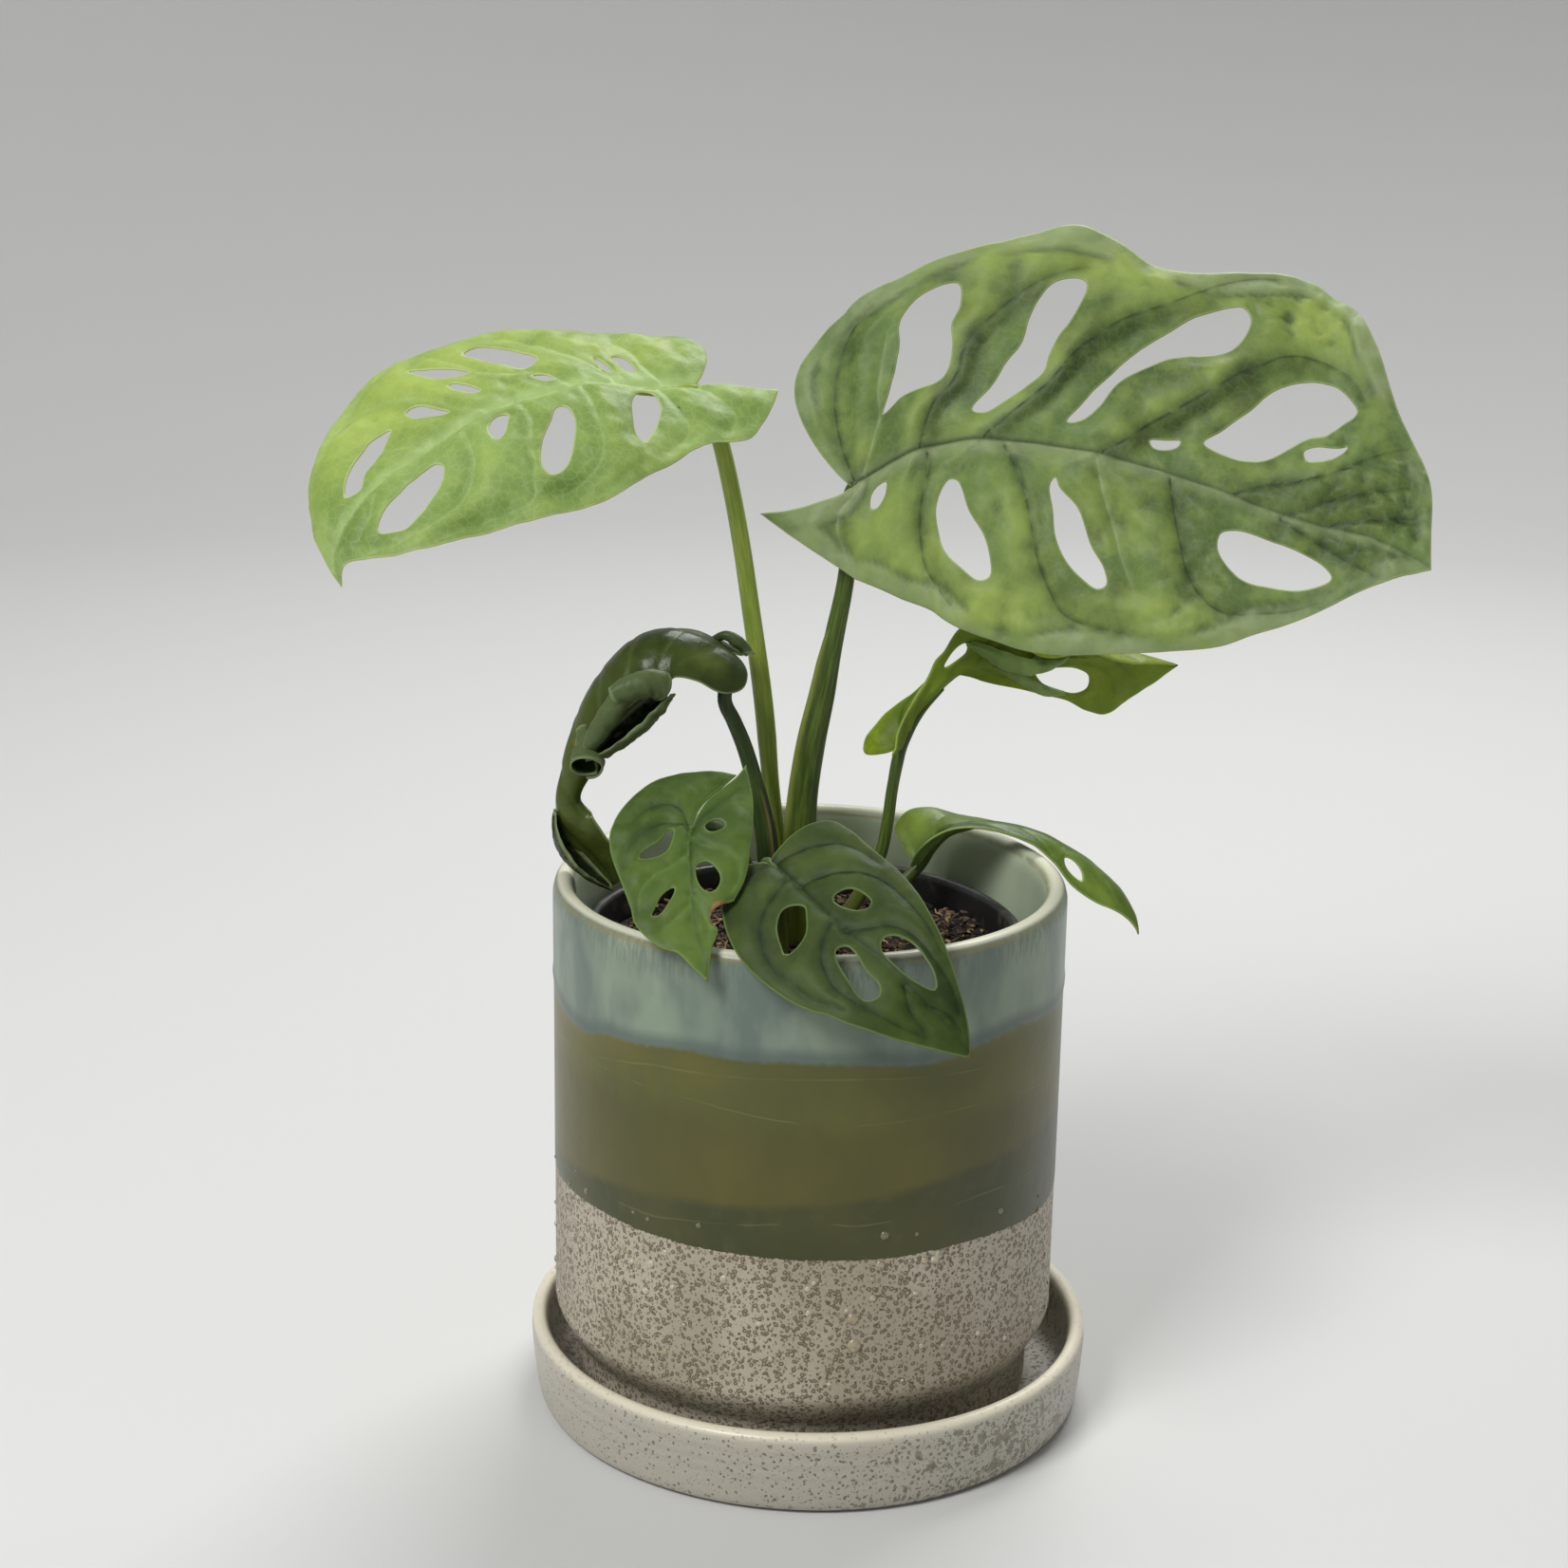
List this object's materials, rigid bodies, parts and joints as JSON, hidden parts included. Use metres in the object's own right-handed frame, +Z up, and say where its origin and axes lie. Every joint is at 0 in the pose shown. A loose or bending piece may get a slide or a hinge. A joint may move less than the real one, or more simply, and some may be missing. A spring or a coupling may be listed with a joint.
{
  "type": "potted swiss cheese vine",
  "caption": "Young potted swiss cheese vine with holed leaves on long stalks, in a nursery pot set in a glazed stoneware pot on its saucer.",
  "frame": {"origin": "on the stoneware pot's axis, on the surface that the saucer stands on", "axes": "+Z up, -Y towards the front, where the two small leaves hang over the rim, +X to the right"},
  "size_m": [0.2632, 0.155, 0.3012],
  "materials": {
    "saucer_glaze": "cream satin glaze with brown specks",
    "pot_glaze": "celadon over olive glaze in bands, speckled cream below",
    "nursery_plastic": "black, satin",
    "coir_mix": "coarse, matt, fibrous",
    "mature_leaf": "satin leaf surface with impressed veins",
    "young_leaf": "satin leaf surface with impressed veins",
    "curled_leaf": "satin leaf surface with impressed veins",
    "front_leaf": "satin leaf surface with impressed veins",
    "dark_leaf": "satin leaf surface with impressed veins",
    "twisted_leaf": "satin leaf surface with impressed veins",
    "arching_leaf": "satin leaf surface with impressed veins",
    "stalk_skin": "smooth, waxy"
  },
  "bodies": {
    "root": {"saucer": "saucer_glaze", "ceramic_pot": "pot_glaze", "nursery_pot": "nursery_plastic", "potting_mix": "coir_mix", "leaf_right_large": "mature_leaf", "stalk_right_large": "stalk_skin", "leaf_left_large": "young_leaf", "stalk_left_large": "stalk_skin", "leaf_curled": "curled_leaf", "stalk_curled": "stalk_skin", "leaf_front_left": "front_leaf", "stalk_front_left": "stalk_skin", "leaf_front_centre": "dark_leaf", "stalk_front_centre": "stalk_skin", "leaf_back_twisted": "twisted_leaf", "stalk_back_twisted": "stalk_skin", "leaf_back_right": "arching_leaf", "stalk_back_right": "stalk_skin"}
  },
  "joints": []
}
